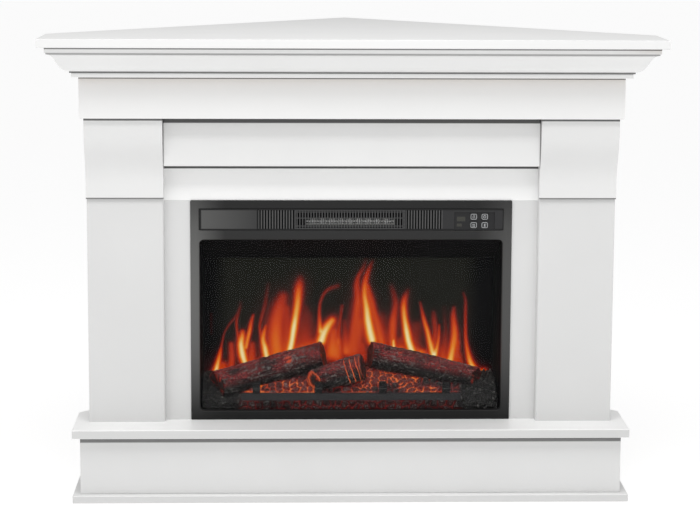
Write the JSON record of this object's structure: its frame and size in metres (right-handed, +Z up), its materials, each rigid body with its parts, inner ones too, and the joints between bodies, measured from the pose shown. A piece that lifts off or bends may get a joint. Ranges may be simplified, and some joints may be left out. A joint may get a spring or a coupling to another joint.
{
  "type": "electric fireplace",
  "caption": "Corner mantel in white painted board around a black electric fireplace insert with logs, flame screen, fan heater outlet and control keys.",
  "frame": {"origin": "bottom centre of the bounding box, on the floor", "axes": "+X to the right seen from the front, +Y to the back corner of the room, +Z up; the front faces -Y"},
  "size_m": [1.13, 0.712, 0.864],
  "materials": {
    "white_paint": "smooth satin white paint on fibreboard",
    "raw_pine": "bare sawn pine",
    "zinc_steel": "zinc plated",
    "frame_paint": "satin dark grey",
    "clear_glass": "clear, polished",
    "black_plastic": "satin black",
    "gloss_black": "gloss black overlay",
    "display_lens": "dim olive window",
    "key_plastic": "satin black with pale printed icons",
    "circuit_board": "green circuit board with parts",
    "led_strip": "aluminium rail with LEDs",
    "case_paint": "matt black",
    "galvanised": "galvanised sheet",
    "screen_acrylic": "smoked diffusing acrylic",
    "ember_resin": "moulded ember bed",
    "log_resin": "moulded charred logs",
    "grate_iron": "matt black",
    "bright_foil": "bright mirror flags",
    "heater_fins": "bright fins in a mica frame",
    "blower_aluminium": "mill finish"
  },
  "bodies": {
    "fireplace": {"mantel_shelf": "white_paint", "front_crown": "white_paint", "left_crown": "white_paint", "right_crown": "white_paint", "sub_top_board": "white_paint", "front_frieze": "white_paint", "left_frieze": "white_paint", "right_frieze": "white_paint", "left_corbel": "white_paint", "right_corbel": "white_paint", "lintel_board": "white_paint", "header_panel": "white_paint", "left_jamb_strip": "white_paint", "right_jamb_strip": "white_paint", "left_pilaster": "white_paint", "right_pilaster": "white_paint", "left_side_panel": "white_paint", "right_side_panel": "white_paint", "hearth_board": "white_paint", "front_base_board": "white_paint", "left_base_board": "white_paint", "right_base_board": "white_paint", "bottom_board": "white_paint", "left_corner_batten": "raw_pine", "right_corner_batten": "raw_pine", "rear_post": "white_paint", "mantel_screws": "zinc_steel", "case_screws": "zinc_steel", "trim_frame": "frame_paint", "window_glass": "clear_glass", "outlet_fascia": "black_plastic", "outlet_grille": "black_plastic", "control_panel": "gloss_black", "display_window": "display_lens", "control_board": "circuit_board", "power_board": "circuit_board", "led_board": "led_strip", "case_shell": "case_paint", "firebox_liner": "case_paint", "rear_cover": "galvanised", "fixing_brackets": "galvanised", "heater_tray": "galvanised", "rod_bracket": "galvanised", "blower_housing": "galvanised", "flicker_motor": "galvanised", "blower_motor": "galvanised", "cable_gland": "black_plastic", "flame_screen": "screen_acrylic", "ember_bed": "ember_resin", "left_log": "log_resin", "centre_log": "log_resin", "right_log": "log_resin", "grate": "grate_iron", "heater_element": "heater_fins"},
    "flame_button": {"flame_button": "key_plastic"},
    "timer_button": {"timer_button": "key_plastic"},
    "heat_button": {"heat_button": "key_plastic"},
    "temperature_button": {"temperature_button": "key_plastic"},
    "flicker_rod": {"flicker_rod": "bright_foil"},
    "blower_wheel": {"blower_wheel": "blower_aluminium"}
  },
  "joints": [
    {"name": "flame_button_press", "type": "slide", "parent": "fireplace", "child": "flame_button", "axis": [0, 1, 0], "range_m": [0, 0.0007], "stiffness_N_per_m": 600, "springref_m": -0.0005},
    {"name": "timer_button_press", "type": "slide", "parent": "fireplace", "child": "timer_button", "axis": [0, 1, 0], "range_m": [0, 0.0007], "stiffness_N_per_m": 600, "springref_m": -0.0005},
    {"name": "heat_button_press", "type": "slide", "parent": "fireplace", "child": "heat_button", "axis": [0, 1, 0], "range_m": [0, 0.0007], "stiffness_N_per_m": 600, "springref_m": -0.0005},
    {"name": "temperature_button_press", "type": "slide", "parent": "fireplace", "child": "temperature_button", "axis": [0, 1, 0], "range_m": [0, 0.0007], "stiffness_N_per_m": 600, "springref_m": -0.0005},
    {"name": "flicker_rod_spin", "type": "hinge", "parent": "fireplace", "child": "flicker_rod", "pos_m": [0, -0.052, 0.235], "axis": [1, 0, 0], "continuous": true},
    {"name": "blower_wheel_spin", "type": "hinge", "parent": "fireplace", "child": "blower_wheel", "pos_m": [0, -0.14, 0.517], "axis": [1, 0, 0], "continuous": true}
  ]
}
